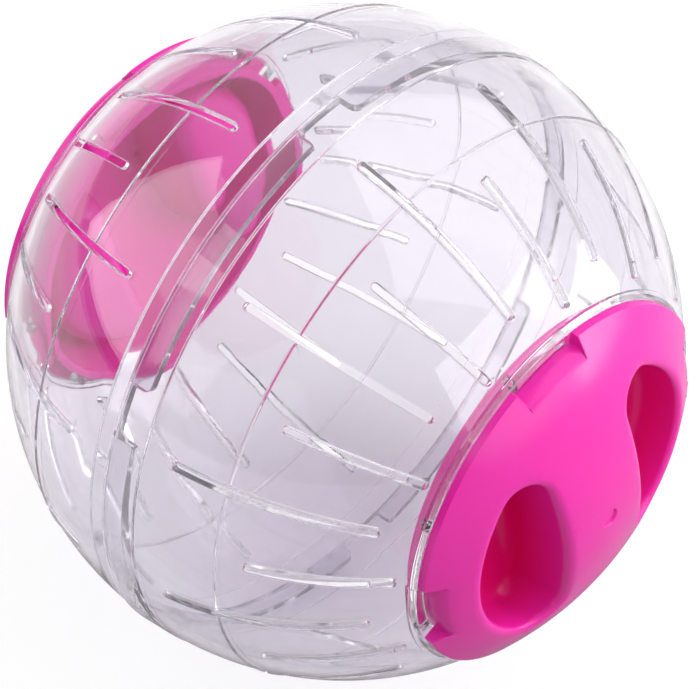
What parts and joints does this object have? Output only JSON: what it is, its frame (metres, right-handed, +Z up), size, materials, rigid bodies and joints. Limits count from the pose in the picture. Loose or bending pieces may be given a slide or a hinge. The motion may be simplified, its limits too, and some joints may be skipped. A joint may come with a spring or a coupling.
{
  "type": "hamster ball",
  "caption": "Clear slotted exercise ball for a small pet, in halves that pull apart, with twist-off pink doors on its sides.",
  "frame": {"origin": "centre of the ball", "axes": "+X along the axis through both doors, towards the right-hand door; +Z up"},
  "size_m": [0.1224, 0.1208, 0.1208],
  "materials": {
    "clear_shell": "clear polished polystyrene",
    "pink_door": "glossy pink plastic"
  },
  "bodies": {
    "right_half": {"shell_right": "clear_shell"},
    "left_half": {"shell_left": "clear_shell"},
    "right_door": {"door_right": "pink_door"},
    "left_door": {"door_left": "pink_door"}
  },
  "joints": [
    {"name": "halves_pull", "type": "slide", "parent": "right_half", "child": "left_half", "axis": [-1, 0, 0], "range_m": [0, 0.07]},
    {"name": "right_door_twist", "type": "hinge", "parent": "right_half", "child": "right_door", "pos_m": [0.048, 0, 0], "axis": [1, 0, 0], "range_deg": [-22.5, 0]},
    {"name": "left_door_twist", "type": "hinge", "parent": "left_half", "child": "left_door", "pos_m": [-0.048, 0, 0], "axis": [-1, 0, 0], "range_deg": [-22.5, 0]}
  ]
}
